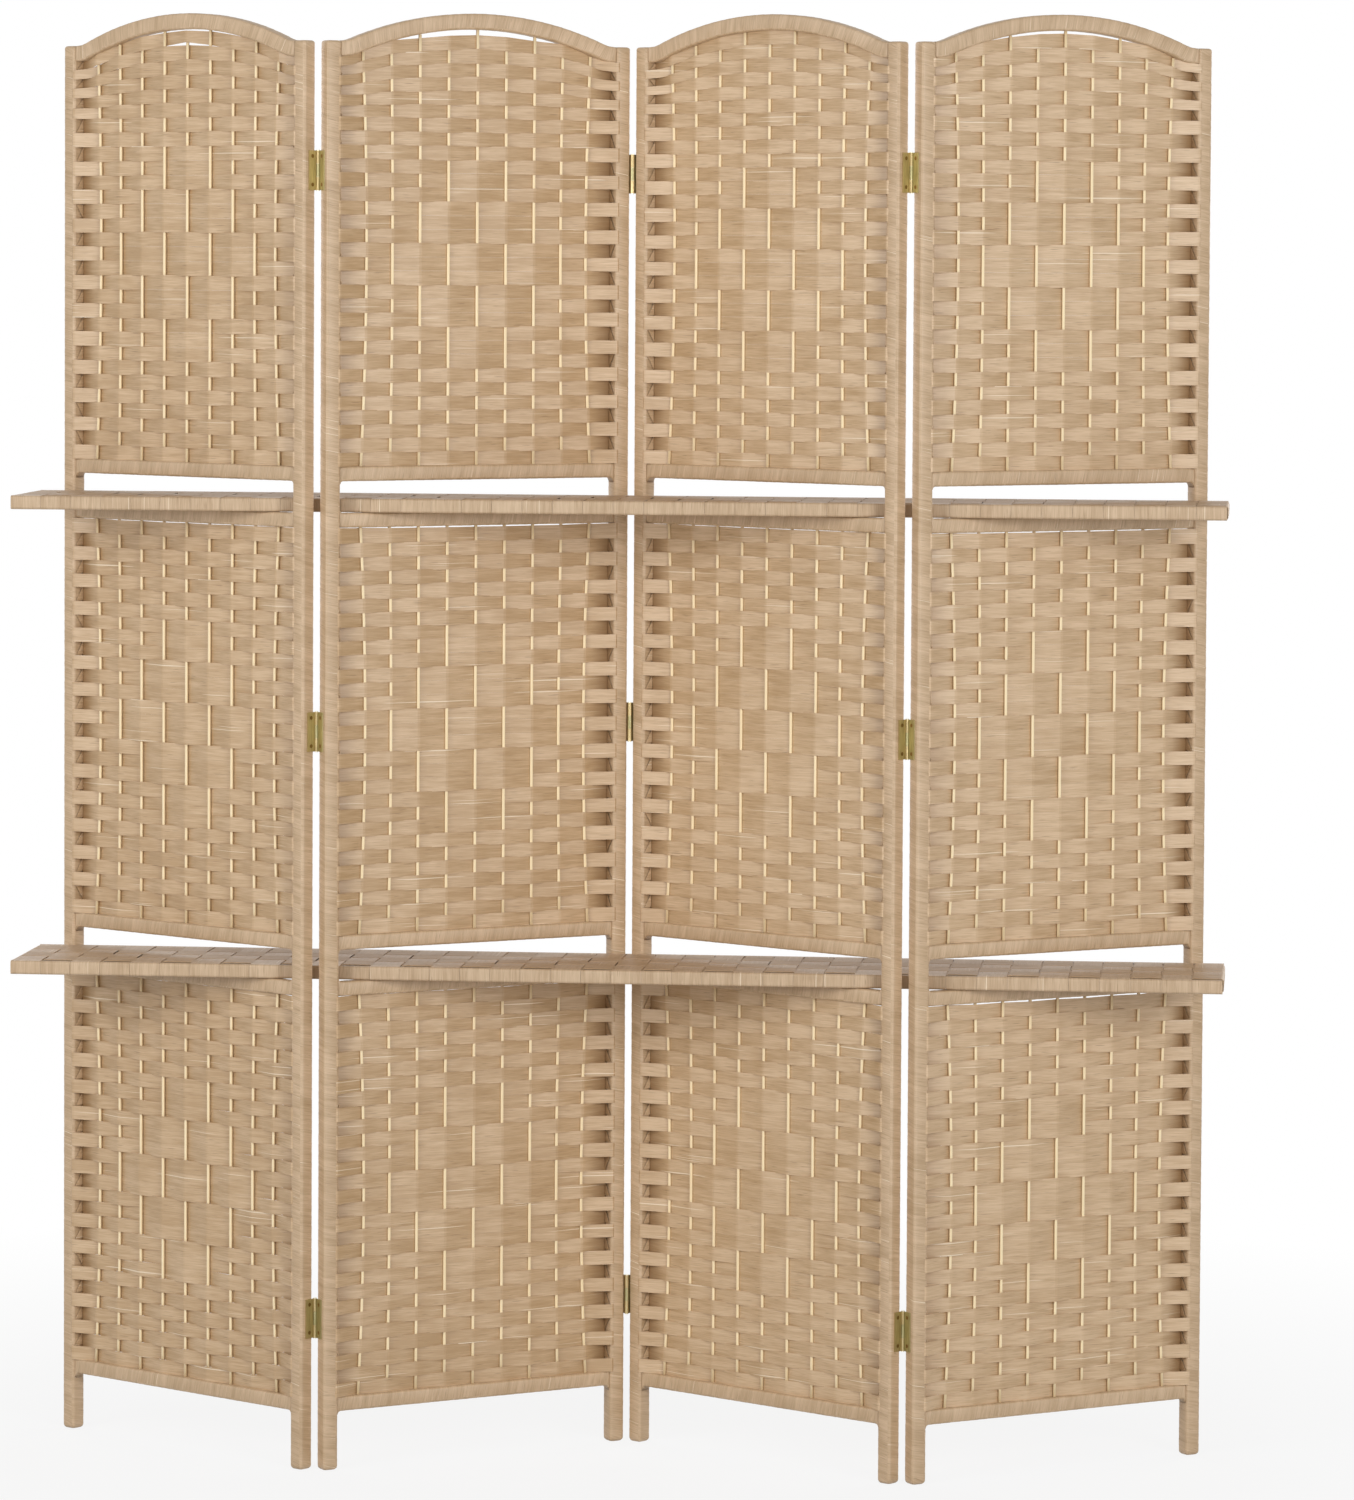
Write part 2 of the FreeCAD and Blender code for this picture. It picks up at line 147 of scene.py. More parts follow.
# Slits over the top ribbons
LOWER_SLITS = (0.0010, 0.0012, 0.0006, 0.0026)
MIDDLE_SLITS = (0.0014, 0.0021, 0.0012, 0.0017)
ARCH_SLITS = (0.0020, 0.0066, 0.0, 0.0034)
ARCH_SLIT_HALF_WIDTH = 0.108
TOP_ROW_SLITS = (0.0040, 0.0, 0.0, 0.0)
TOP_ROW_SLIT_HALF_WIDTH = 0.048

# Shelves
SHELF_EDGE = 0.0030
EDGE_STEPS = 4
BAND_COUNT = 40
BAND_ROWS = 4
BAND_GAP = 0.0011
EDGE_GAP = 0.00015
BAND_THICKNESS = 0.0009
BAND_CLEARANCE = 0.0006
BAND_BEND = 0.002
# Painted shade on the bands' flat top and bottom faces, none on their rounded edges
FACE_PAINTED_SHADE = 0.38
SHELF_RAIL_WIDTH = 0.018
SHELF_END = 0.0012
CRISP_ANGLE = math.radians(40)

# The photograph's camera, fitted to the screen's edges
FRAME_LONG_SIDE = 1500
FOCAL_PIXELS = 6200
CENTRE_ROW = 550
CAMERA_PLACE = (0.7687, -7.2227, 1.4169)
CAMERA_YAW = 0.0970
CAMERA_PITCH = -0.0472
CAMERA_ROLL = 0.0055
SENSOR = 36.0

# Light
SOFTBOX_HEIGHT = 1.75
SOFTBOX_SIZE = 1.9
SOFTBOX_AIM = (0.0, 0.0, 1.0)
# Name, degrees round from the front, distance from the screen and power of each softbox
SOFTBOXES = (
    ("softbox_left", -41, 3.8, 62.0),
    ("softbox_right", 37, 5.0, 108.0),
    ("softbox_behind_left", -140, 3.8, 34.0),
    ("softbox_behind_right", 140, 3.8, 34.0),
)
AMBIENT = 0.36


def middle(box):
    return (box[0] + box[1]) / 2


class Panel:
    """One panel's place and heights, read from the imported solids."""

    def __init__(self, number):
        self.number = number
        self.body = "panel_%d" % number
        left_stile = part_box(self.node("left_stile"))
        left, right = middle(left_stile), middle(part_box(self.node("right_stile")))
        run = right - left
        self.turn = math.atan2(run.y, run.x)
        self.stile_line = run.length / 2
        self.inner = self.stile_line - STILE_SIZE / 2
        centre = (left + right) / 2
        centre.z = 0
        self.place = Matrix.Translation(centre) @ Matrix.Rotation(self.turn, 4, "Z")
        self.stile_top = left_stile[1].z
        arch_low, arch_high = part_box(self.node("top_arch"))
        self.arch_top = arch_high.z
        self.arch_rise = arch_high.z - arch_low.z - ARCH_DEPTH
        self.levels = {}
        for rail in RAIL_CORNERS:
            low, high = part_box(self.node(rail))
            self.levels[rail] = (low.z, high.z)
        self.random = random.Random(PANEL_SEED + number)

    def node(self, piece):
        return "panel_%d_%s" % (self.number, piece)

    def own(self, values):
        """The panel's own one of four values."""
        return values[self.number - 1]


def add_piece(name, source, material, body, nodes, smooth=True):
    """Turns a bmesh into a piece of the screen that rides on a body and stands for its nodes."""
    mesh = bpy.data.meshes.new(name)
    source.to_mesh(mesh)
    source.free()
    mesh.materials.append(material)
    if smooth:
        mesh.shade_smooth()
    piece = bpy.data.objects.new(name, mesh)
    bpy.context.scene.collection.objects.link(piece)
    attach(piece, body)
    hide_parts(*nodes)
    return piece


# Wrapped bars

def rounded_bar(length, deep, tall, edge, ring):
    """A bar along X with round long edges, cut into rings along its length."""
    bar = bmesh.new()
    bmesh.ops.create_cube(bar, size=1.0)
    bmesh.ops.scale(bar, vec=(length, deep, tall), verts=bar.verts)
    bmesh.ops.bevel(bar, geom=edges_along_x(bar), offset=edge, offset_type="OFFSET", affect="EDGES",
                    segments=3, profile=0.5, material=-1)
    cuts = max(1, round(length / ring)) - 1
    bmesh.ops.subdivide_edges(bar, edges=edges_along_x(bar), cuts=cuts, use_grid_fill=True)
    return bar


def edges_along_x(bar):
    return [edge for edge in bar.edges if abs(edge.verts[0].co.x - edge.verts[1].co.x) > MERGE_DISTANCE]


def round_end(bar, length, ring, end, radius):
    """Rounds a bar's end: its last rings are drawn in along a quarter circle."""
    spacing = length / max(1, round(length / ring))
    for vert in bar.verts:
        step = round((length / 2 - vert.co.x * end) / spacing)
        if step <= END_RINGS:
            angle = math.pi / 2 * step / END_RINGS
            inset = radius * (1 - math.sin(angle))
            half = max(abs(vert.co.y), abs(vert.co.z))
            vert.co.x = end * (length / 2 - radius * (1 - math.cos(angle)))
            vert.co.yz = vert.co.yz * ((half - inset) / half)


def wind_paper(bar, deep, tall, seed):
    """Winds paper round a bar along X: a shingled helix in its shape, and fibre coordinates as a UV map."""
    bar.normal_update()
    fibre = bar.loops.layers.uv.new("fibre")
    perimeter = 2 * (deep + tall)

    def turn_of(co):
        return math.atan2(co.z / tall, co.y / deep) / math.tau

    for face in bar.faces:
        first = turn_of(face.calc_center_median())
        for loop in face.loops:
            turn = turn_of(loop.vert.co)
            turn += round(first - turn)
            loop[fibre].uv = (turn * perimeter, loop.vert.co.x + turn * WRAP_PITCH + seed)
    for vert in bar.verts:
        turn = turn_of(vert.co)
        wound = (vert.co.x + turn * WRAP_PITCH) / WRAP_PITCH
        uneven = noise.noise(Vector((wound * UNEVEN_ALONG, seed * UNEVEN_SEED, turn)))
        lift = WRAP_STEP * (wound - math.floor(wound) - 0.5 + WRAP_UNEVEN * uneven)
        outward = Vector((0, vert.normal.y, vert.normal.z))
        vert.co += outward * lift


def make_stile(panel, side, paper):
    """A wrapped post from its round-edged foot to its top."""
    length = panel.stile_top
    bar = rounded_bar(length, STILE_SIZE, STILE_SIZE, STILE_EDGE, WRAP_RING)
    wind_paper(bar, STILE_SIZE, STILE_SIZE, panel.number + side * STILE_PHASE)
    round_end(bar, length, WRAP_RING, -1, FOOT_RADIUS)
    round_end(bar, length, WRAP_RING, 1, STILE_EDGE)
    upright = Matrix.Rotation(-math.pi / 2, 4, "Y")
    stand = Matrix.Translation((side * panel.stile_line, 0, length / 2)) @ upright
    bmesh.ops.transform(bar, matrix=panel.place @ stand, verts=bar.verts)
    node = panel.node("left_stile" if side < 0 else "right_stile")
    add_piece(node + "_wrapped", bar, paper, panel.body, [node])


def make_rail(panel, rail, paper):
    """A wrapped rail between the stiles, with round corners on one side."""
    low, high = panel.levels[rail]
    tall = high - low
    bar = rounded_bar(2 * panel.inner, RAIL_THICKNESS, tall, RAIL_EDGE, WRAP_RING)
    wind_paper(bar, RAIL_THICKNESS, tall, panel.number * RAIL_PHASE + low)
    side = RAIL_CORNERS[rail]
    for vert in bar.verts:
        from_end = panel.inner - abs(vert.co.x)
        if from_end < SLOT_CORNER_RADIUS and vert.co.z * side > 0:
            back = SLOT_CORNER_RADIUS - from_end
            grow = SLOT_CORNER_RADIUS - math.sqrt(max(0.0, SLOT_CORNER_RADIUS ** 2 - back ** 2))
            vert.co.z += side * grow
    lift = Matrix.Translation((0, 0, (low + high) / 2))
    bmesh.ops.transform(bar, matrix=panel.place @ lift, verts=bar.verts)
    node = panel.node(rail)
    add_piece(node + "_wrapped", bar, paper, panel.body, [node])


class ArchLine:
    """A line that follows the arch at a distance below its top: a crown arc between two shoulder arcs."""

    def __init__(self, panel, below):
        span, rise = panel.inner, panel.arch_rise
        radii = (span ** 2 + rise ** 2) / (2 * rise)
        self.turn = math.asin(span / radii)
        self.crown = radii - SHOULDER_RADIUS - below
        self.shoulder = SHOULDER_RADIUS + below
        self.crown_length = self.crown * self.turn
        self.length = self.crown_length + self.shoulder * self.turn
        self.span = span
        self.top = panel.arch_top - below
        self.foot = panel.arch_top - rise - below

    def at(self, distance):
        """Place across, height and slope at a distance along the line from the crown."""
        side = math.copysign(1, distance)
        run = abs(distance)
        if run <= self.crown_length:
            angle = run / self.crown
            across = self.crown * math.sin(angle)
            height = self.top - self.crown * (1 - math.cos(angle))
        else:
            angle = self.turn - (run - self.crown_length) / self.shoulder
            across = self.span - self.shoulder * math.sin(angle)
            height = self.foot + self.shoulder * (1 - math.cos(angle))
        return side * across, height, -side * angle

    def height_at(self, across):
        run = abs(across)
        if run <= self.crown * math.sin(self.turn):
            return self.top - self.crown + math.sqrt(self.crown ** 2 - run ** 2)
        reach = min(self.shoulder, max(0.0, self.span - run))
        return self.foot + self.shoulder - math.sqrt(self.shoulder ** 2 - reach ** 2)


def make_arch(panel, paper):
    """The wrapped top rail, bent along the arch."""
    line = ArchLine(panel, ARCH_DEPTH / 2)
    bar = rounded_bar(2 * line.length, ARCH_THICKNESS, ARCH_DEPTH, RAIL_EDGE, WRAP_RING)
    wind_paper(bar, ARCH_THICKNESS, ARCH_DEPTH, panel.number * ARCH_PHASE)
    for vert in bar.verts:
        across, height, slope = line.at(vert.co.x)
        depth, above = vert.co.yz
        vert.co = (across - above * math.sin(slope), depth, height + above * math.cos(slope))
    bmesh.ops.transform(bar, matrix=panel.place, verts=bar.verts)
    node = panel.node("top_arch")
    add_piece(node + "_wrapped", bar, paper, panel.body, [node])


# Weave

def stake_shows(row, stake):
    """Whether a stake stands before the ribbon of a row. The diamond turns over each group's middle row."""
    step = row - PLAIN_ROWS_BELOW
    turned = False
    if 0 <= step < DIAMOND_GROUPS * ROWS_PER_GROUP and step % ROWS_PER_GROUP == ROWS_PER_GROUP // 2:
        reach = DIAMOND_REACH - abs(step // ROWS_PER_GROUP - DIAMOND_GROUPS // 2)
        turned = abs(stake - STAKE_COUNT // 2) <= reach
    return ((row + stake) % 2 == 0) != turned


class Section:
    """One woven field of a panel: its floor, its top line and its stakes."""

    def __init__(self, panel, low, high, rows, slit, arch, seed):
        self.panel, self.low, self.high = panel, low, high
        self.rows, self.slit, self.arch, self.seed = rows, slit, arch, seed
        self.slit_half_width = ARCH_SLIT_HALF_WIDTH if arch else panel.inner
        self.top_row_slit = panel.own(TOP_ROW_SLITS) if arch else 0.0

    def top_at(self, across):
        """Height of the top ribbon's upper edge: under the rail, but for the slit."""
        rail = self.arch.height_at(across) if self.arch else self.high
        return rail - self.slit * max(0.0, 1 - (across / self.slit_half_width) ** 4)

    def slit_under(self, row, across):
        """How far a ribbon's lower edge stands clear of the one below: only the top one under an arch may."""
        if row < self.rows - 1:
            return 0.0
        return self.top_row_slit * max(0.0, 1 - (across / TOP_ROW_SLIT_HALF_WIDTH) ** 2)

    def stake_at(self, stake, height):
        """How far across a stake stands at a height. The outer ones are drawn in by the ribbons."""
        step = 2 * (self.panel.inner - STAKE_MARGIN) / (STAKE_COUNT - 1)
        from_middle = stake - STAKE_COUNT // 2
        level = 2 * (height - self.low) / (self.high - self.low) - 1
        order = STAKE_COUNT // 2 - abs(from_middle)
        bow = STAKE_BOWS[min(order, len(STAKE_BOWS) - 1)] * max(0.0, 1 - level ** 2)
        return from_middle * step - math.copysign(bow, from_middle)

    def stake_top(self, stake):
        """A stake reaches the rail above, but under an arch it may end behind the top ribbon."""
        if self.arch is None:
            return self.high
        foot = abs(self.stake_at(stake, self.low))
        if stake_shows(self.rows - 1, stake):
            return self.arch.height_at(foot + STAKE_WIDTH / 2)
        return self.top_at(foot) - STAKE_WIDTH

    def edge_at(self, edge, across):
        """Height of the line between two rows. The top rows bend with the arch."""
        flat_top = self.high - self.slit
        height = self.low + (flat_top - self.low) * edge / self.rows
        from_top = self.rows - edge
        if self.arch and from_top < BENT_ROWS:
            share = 1 - from_top / BENT_ROWS
            height -= (flat_top - self.top_at(across)) * share ** BEND_SPREAD
        elif edge == self.rows:
            height = self.top_at(across)
        if 0 < edge < self.rows:
            place = Vector((across * WANDER_ACROSS, edge * WANDER_BY_ROW, self.seed))
            height += ROW_WANDER * noise.noise(place)
        return height


def sections_of(panel):
    """The panel's three woven fields, from the floor up."""
    diamond = DIAMOND_GROUPS * ROWS_PER_GROUP
    rows = PLAIN_ROWS_BELOW + diamond + PLAIN_ROWS_ABOVE
    upper_rows = PLAIN_ROWS_BELOW + diamond + panel.own(UPPER_PLAIN_ROWS_ABOVE)
    levels = panel.levels
    arch = ArchLine(panel, ARCH_DEPTH)
    seed = panel.number * WANDER_BY_PANEL
    return [
        Section(panel, levels["bottom_rail"][1], levels["lower_slot_sill"][0], rows,
                panel.own(LOWER_SLITS), None, seed),
        Section(panel, levels["lower_slot_head"][1], levels["upper_slot_sill"][0], rows,
                panel.own(MIDDLE_SLITS), None, seed + 1),
        Section(panel, levels["upper_slot_head"][1], arch.top, upper_rows,
                panel.own(ARCH_SLITS), arch, seed + 2),
    ]


def paper_layers(source):
    """What the paper's colour reads from a mesh: its fibre coordinates, tone and painted shade."""
    return {
        "fibre": source.loops.layers.uv.new("fibre"),
        "tone": source.verts.layers.float.new("tone"),
        "stain": source.verts.layers.float.new("stain"),
    }


def add_strip(source, layers, count, corner_at, tone):
    """A strip of paper with two corners at each bend: corner_at gives a corner's place, fibre and painted
    shade.
    """
    strip = bmesh.ops.create_grid(source, x_segments=count - 1, y_segments=1, size=0.5)["verts"]
    fibre = {}
    for vert in strip:
        bend = round((vert.co.x + 0.5) * (count - 1))
        place, fibre[vert], stain = corner_at(bend, vert.co.y > 0)
        vert.co = place
        vert[layers["tone"]] = tone
        vert[layers["stain"]] = stain
    for face in {face for vert in strip for face in vert.link_faces}:
        for loop in face.loops:
            loop[layers["fibre"]].uv = fibre[loop.vert]
    return strip


def ribbon_line(section, row, height):
    """The ribbon's bends across the panel, as (across, depth, lap above, lap below, painted shade)."""
    panel = section.panel
    inner = panel.inner
    weave_depth = panel.own(WEAVE_DEPTHS)
    face = STILE_SIZE / 2 + RIBBON_THICKNESS / 2
    half = STAKE_WIDTH / 2

    def lap(stake, neighbour):
        return RIBBON_LAP if stake_shows(row, stake) != stake_shows(neighbour, stake) else -RIBBON_GAP

    def end(side, stake, nearest):
        """Bends at a stile: laid over its front, or led into the pocket and round its back."""
        behind = stake_shows(row, stake)
        back = 1 if behind else -1
        wide = POCKET_LAP if behind else 0.0
        # Painted shade in the pockets: strong at the panel's back stile, where the pocket lies in shade, and
        # light at the fold of every pocket
        pocket = POCKET_PAINTED_SHADE if behind and side * panel.turn > 0 else 0.0
        crease_shade = max(pocket, CREASE_PAINTED_SHADE) if behind else 0.0
        drawn = POCKET_DEPTH if behind else -(face - STILE_SINK)
        meet = side * (inner - RIBBON_THICKNESS)
        start = section.stake_at(nearest, height) + side * half
        cross = weave_depth / (weave_depth + abs(drawn))
        widening = cross + WIDENING_SHARE * (1 - cross)
        bends = [
            (side * (inner + STILE_OVERLAP), back * (face - 2 * STILE_SINK), wide, wide, 0.0),
            (side * (inner + STILE_TOUCH), back * face, wide, wide, 0.0),
        ]
        if behind:
            bends.append((meet, face - STILE_TOUCH, wide, wide, crease_shade))
        return bends + [
            (meet, drawn, wide, wide, crease_shade),
            (start + (meet - start) * widening, WIDENING_SHARE * drawn, WIDENED * wide, WIDENED * wide,
             PAINTED_SHADE_AT_WIDENING * pocket),
            (start + (meet - start) * cross, 0.0, 0.0, 0.0, PAINTED_SHADE_AT_STAKE * pocket),
        ]

    bends = end(-1, -1, 0)
    for stake in range(STAKE_COUNT):
        across = section.stake_at(stake, height)
        depth = weave_depth if stake_shows(row, stake) else -weave_depth
        above, below = lap(stake, row + 1), lap(stake, row - 1)
        bends.append((across - half, depth, above, below, 0.0))
        bends.append((across + half, depth, above, below, 0.0))
    return bends + end(1, STAKE_COUNT, STAKE_COUNT - 1)[::-1]


def add_ribbon(weave, layers, section, row):
    """One ribbon of paper, laid over and under the stakes and drawn to the stiles."""
    panel = section.panel
    height = (section.edge_at(row, 0) + section.edge_at(row + 1, 0)) / 2
    tone = panel.own(PANEL_TONES) + panel.random.uniform(-1, 1)
    shift = panel.random.uniform(0, FIBRE_SHIFT)
    bends = ribbon_line(section, row, height)

    def corner_at(bend, upper):
        across, depth, above, below, stain = bends[bend]
        if upper:
            level = section.edge_at(row + 1, across) + above
        else:
            level = section.edge_at(row, across) + section.slit_under(row, across) - below
        return panel.place @ Vector((across, depth, level)), (across + shift, level + shift), stain

    add_strip(weave, layers, len(bends), corner_at, tone)
    for side, stake in ((-1, -1), (1, STAKE_COUNT)):
        back = 1 if stake_shows(row, stake) else -1
        add_tab(weave, layers, section, row, side, back, tone)


def add_tab(weave, layers, section, row, side, back, tone):
    """The ribbon's folded end: a corner of paper on the stile's inner face, beside the ribbon's bend."""
    panel = section.panel
    across = side * (panel.inner - TAB_STANDOFF)
    low = section.edge_at(row, across) + TAB_MARGIN
    high = section.edge_at(row + 1, across) - TAB_MARGIN
    if panel.random.random() < TAB_TURNED_SHARE:
        low, high = high, low
    deep = POCKET_DEPTH - TAB_MARGIN if back > 0 else TAB_MARGIN - STILE_SIZE / 2
    reach = -back * TAB_REACH * panel.random.uniform(TAB_LEAST_REACH, 1.0)
    shift = panel.random.uniform(0, FIBRE_SHIFT)
    corners = [(deep, low), (deep, high), (reach, low)]
    verts = [weave.verts.new(panel.place @ Vector((across, depth, level))) for depth, level in corners]
    face = weave.faces.new(verts)
    for loop, (depth, level) in zip(face.loops, corners):
        loop[layers["fibre"]].uv = (depth + shift, level + shift)
        # Painted highlight: the tab's paper is lighter than its ribbon's
        loop.vert[layers["tone"]] = tone + TAB_PAINTED_HIGHLIGHT
        # Painted shade on the tabs at the right stiles
        loop.vert[layers["stain"]] = RIGHT_TAB_PAINTED_SHADE if side > 0 else 0.0


def make_ribbons(panel, sections, paper):
    """All ribbons of a panel, as sheets with the paper's thickness, half to each side."""
    weave = bmesh.new()
    layers = paper_layers(weave)
    for section in sections:
        for row in range(section.rows):
            add_ribbon(weave, layers, section, row)
    node = panel.node("ribbons")
    piece = add_piece(node + "_woven", weave, paper, panel.body, [node], smooth=False)
    thickness = piece.modifiers.new("thickness", "SOLIDIFY")
    thickness.thickness = RIBBON_THICKNESS
    thickness.offset = 0


def make_stakes(panel, sections, wood):
    stakes = bmesh.new()
    stakes.verts.layers.float.new("side")
    for section in sections:
        for stake in range(STAKE_COUNT):
            add_stake(stakes, section, stake)
    node = panel.node("stakes")
    add_piece(node + "_bowed", stakes, wood, panel.body, [node])


def add_stake(stakes, section, stake):
    """One thin stick, bowed in as the ribbons pull it. Its sides carry painted shade, darker towards the
    back.
    """
    length = section.stake_top(stake) - section.low
    stick = rounded_bar(length, STAKE_THICKNESS, STAKE_WIDTH, STAKE_EDGE, STAKE_RING)
    side = stick.verts.layers.float.new("side")
    for vert in stick.verts:
        on_side = abs(vert.co.z) > STAKE_WIDTH / 2 - SIDE_TOLERANCE
        # Painted shade on the side faces, from none at the front edge to full at the back
        vert[side] = 1.0 if on_side and vert.co.y > 0 else 0.0
        height = section.low + vert.co.x + length / 2
        across = section.stake_at(stake, height) - vert.co.z
        vert.co = section.panel.place @ Vector((across, vert.co.y, height))
    join(stakes, stick)


def join(target, source):
    """Adds a bmesh to another."""
    mesh = bpy.data.meshes.new("joined")
    source.to_mesh(mesh)
    source.free()
    target.from_mesh(mesh)
    bpy.data.meshes.remove(mesh)


# Woven shelves

class Shelf:
    """One shelf's box and the grid of its woven bands."""

    def __init__(self, name):
        self.name = name
        low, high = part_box(name + "_long_rails")
        self.middle = middle((low, high))
        self.half_length = (high.x - low.x) / 2
        self.half_depth = (high.y - low.y) / 2
        self.half_height = (high.z - low.z) / 2
        woven = self.half_depth - SHELF_RAIL_WIDTH
        self.rows = [-woven + 2 * woven * step / BAND_ROWS for step in range(BAND_ROWS + 1)]
        covered = self.half_length - SHELF_END
        self.columns = [-covered + 2 * covered * step / BAND_COUNT for step in range(BAND_COUNT + 1)]


def loop_line(half, half_height, cells, over):
    """A band's closed path round the shelf, over and under the others, as (run, height, gap, painted shade).
    """
    under = half_height - BAND_THICKNESS - BAND_CLEARANCE
    path = []
    for face in (1, -1):
        line = []
        for cell, (start, stop) in enumerate(zip(cells, cells[1:])):
            level = face * (half_height if over(cell, face) else under)
            # Painted shade on the flat faces; the rounded edges below get none
            line.append((start + BAND_BEND, level, BAND_GAP, FACE_PAINTED_SHADE))
            line.append((stop - BAND_BEND, level, BAND_GAP, FACE_PAINTED_SHADE))
        path += line[::face]
        for corner in (1, -1):
            for step in range(EDGE_STEPS + 1):
                turn = EDGE_STEPS - step if corner > 0 else -step
                angle = math.pi / 2 * turn / EDGE_STEPS
                run = half - SHELF_EDGE + SHELF_EDGE * math.cos(angle)
                level = corner * (half_height - SHELF_EDGE) + SHELF_EDGE * math.sin(angle)
                path.append((face * run, face * level, EDGE_GAP, 0.0))
    return path


def add_band(bands, layers, path, start, stop, to_shelf, tone, shift):
    """A band wound once round the shelf: a strip bent along the path and closed on itself."""
    points = path + path[:1]
    lengths = [0.0]
    for first, second in zip(points, points[1:]):
        lengths.append(lengths[-1] + math.dist(first[:2], second[:2]))

    def corner_at(bend, upper):
        run, level, gap, stain = points[bend]
        side = stop - gap if upper else start + gap
        return to_shelf(run, side, level), (lengths[bend] + shift, side + shift), stain

    strip = add_strip(bands, layers, len(points), corner_at, tone)
    bmesh.ops.remove_doubles(bands, verts=strip, dist=MERGE_DISTANCE)


def add_bands(bands, layers, shelf, lengthwise, chance):
    """The shelf's lengthwise or crosswise bands, in plain weave with the others."""
    own, crossed = (shelf.rows, shelf.columns) if lengthwise else (shelf.columns, shelf.rows)
    half = shelf.half_length if lengthwise else shelf.half_depth

    def to_shelf(run, side, level):
        return shelf.middle + Vector((run, side, level) if lengthwise else (side, run, level))

    for band, (start, stop) in enumerate(zip(own, own[1:])):

        def over(cell, face):
            return (band + cell + lengthwise) % 2 == (0 if face > 0 else 1)

        path = loop_line(half, shelf.half_height, crossed, over)
        tone = chance.uniform(-1, 1)
        shift = chance.uniform(0, FIBRE_SHIFT)
        add_band(bands, layers, path, start, stop, to_shelf, tone, shift)


def make_shelf(shelf, paper):
    """The shelf's crosswise and lengthwise bands, wound round it."""
    chance = random.Random(shelf.name)
    bands = bmesh.new()
    layers = paper_layers(bands)
    for lengthwise in (False, True):
        add_bands(bands, layers, shelf, lengthwise, chance)
    bmesh.ops.recalc_face_normals(bands, faces=bands.faces)
    bmesh.ops.solidify(bands, geom=bands.faces[:], thickness=BAND_THICKNESS)
    keep_crisp(bands)
    piece = add_piece(shelf.name + "_woven_bands", bands, paper, shelf.name,
                      [shelf.name + "_bands"])
    flat_faces = piece.modifiers.new("flat_faces", "WEIGHTED_NORMAL")
    flat_faces.keep_sharp = True


def keep_crisp(source):
    """Marks the cut edges of the paper, so that smooth shading stops there."""
    source.normal_update()
    for edge in source.edges:
        if edge.calc_face_angle(0.0) > CRISP_ANGLE:
            edge.smooth = False


def make_shelf_frame(shelf, wrap):
    """Two long rails and two end rails under the bands, wrapped in paper."""
    rails = bmesh.new()
    under = BAND_THICKNESS + BAND_CLEARANCE
    width = SHELF_RAIL_WIDTH - under
    inset = under + width / 2
    long_tall = 2 * (shelf.half_height - under)
    end_tall = 2 * (shelf.half_height - 2 * under)
    for side in (-1, 1):
        bar = rounded_bar(2 * (shelf.half_length - under), width, long_tall, RAIL_EDGE, SHELF_WRAP_RING)
        wind_paper(bar, width, long_tall, side * LONG_RAIL_PHASE)
        to_edge = Vector((0, side * (shelf.half_depth - inset), 0))
        bmesh.ops.translate(bar, vec=shelf.middle + to_edge, verts=bar.verts)
        join(rails, bar)
        bar = rounded_bar(2 * (shelf.half_depth - SHELF_RAIL_WIDTH), width, end_tall, RAIL_EDGE, WRAP_RING)
        wind_paper(bar, width, end_tall, side * END_RAIL_PHASE)
        bmesh.ops.rotate(bar, matrix=Matrix.Rotation(math.pi / 2, 3, "Z"), verts=bar.verts)
        to_end = Vector((side * (shelf.half_length - inset), 0, 0))
        bmesh.ops.translate(bar, vec=shelf.middle + to_end, verts=bar.verts)
        join(rails, bar)
    add_piece(shelf.name + "_frame_wrapped", rails, wrap, shelf.name,
              [shelf.name + "_long_rails", shelf.name + "_end_rails"])


# Colours and finishes

RIBBON_LIGHT = (0.63, 0.45, 0.275, 1)
RIBBON_DARK = (0.45, 0.29, 0.145, 1)
SHELF_LIGHT = (0.61, 0.455, 0.305, 1)
SHELF_DARK = (0.44, 0.305, 0.185, 1)
WRAP_LIGHT = (0.62, 0.445, 0.28, 1)
WRAP_DARK = (0.44, 0.295, 0.16, 1)
FLECK_BROWN = (0.25, 0.15, 0.07, 1)
# Brown of the painted shade in pockets, on shelf faces and on right tabs
PAINTED_SHADE_BROWN = (0.25, 0.13, 0.045, 1)
LOOSE_FIBRE = (0.86, 0.74, 0.56, 1)
STAKE_LIGHT = (1.0, 0.85, 0.57, 1)
STAKE_DARK = (0.95, 0.76, 0.46, 1)
# Painted shade on the stakes' sides
STAKE_SIDE_PAINTED_SHADE = (0.50, 0.33, 0.17, 1)
SCREW_BROWN = (0.23, 0.14, 0.05, 1)
FLOOR_GREY = (0.62, 0.62, 0.62, 1)
# Dull and bright brass
LEFT_LEAF_BRASS = ((0.40, 0.31, 0.15, 1), (0.57, 0.46, 0.25, 1))
RIGHT_LEAF_BRASS = ((0.32, 0.29, 0.14, 1), (0.48, 0.44, 0.25, 1))
PIN_BRASS = ((0.74, 0.70, 0.54, 1), (0.90, 0.87, 0.73, 1))

